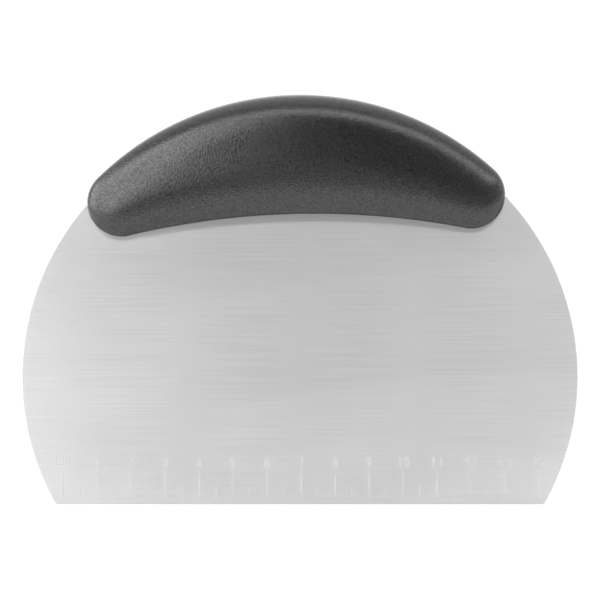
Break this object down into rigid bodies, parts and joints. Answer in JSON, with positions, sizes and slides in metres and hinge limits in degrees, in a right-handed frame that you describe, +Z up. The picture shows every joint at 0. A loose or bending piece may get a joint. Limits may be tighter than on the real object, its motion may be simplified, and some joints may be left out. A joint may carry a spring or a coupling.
{
  "type": "bench scraper",
  "caption": "D-shaped stainless dough scraper with a straight ground edge, an engraved centimetre scale and an arched black over-moulded handle.",
  "frame": {"origin": "middle of the scraping edge, in the blade's middle plane", "axes": "+X along the scraping edge to the right seen from the front, +Y from the front (scale side) to the back, +Z up from the scraping edge to the handle"},
  "size_m": [0.1634, 0.017, 0.1205],
  "materials": {
    "blade_steel": "fine brushing along the scraping edge, etched marks frosted",
    "core_plastic": "plain moulded",
    "grip_plastic": "spark-eroded matte texture"
  },
  "bodies": {
    "root": {"blade": "blade_steel", "core_front": "core_plastic", "core_rear": "core_plastic", "grip": "grip_plastic"}
  },
  "joints": []
}
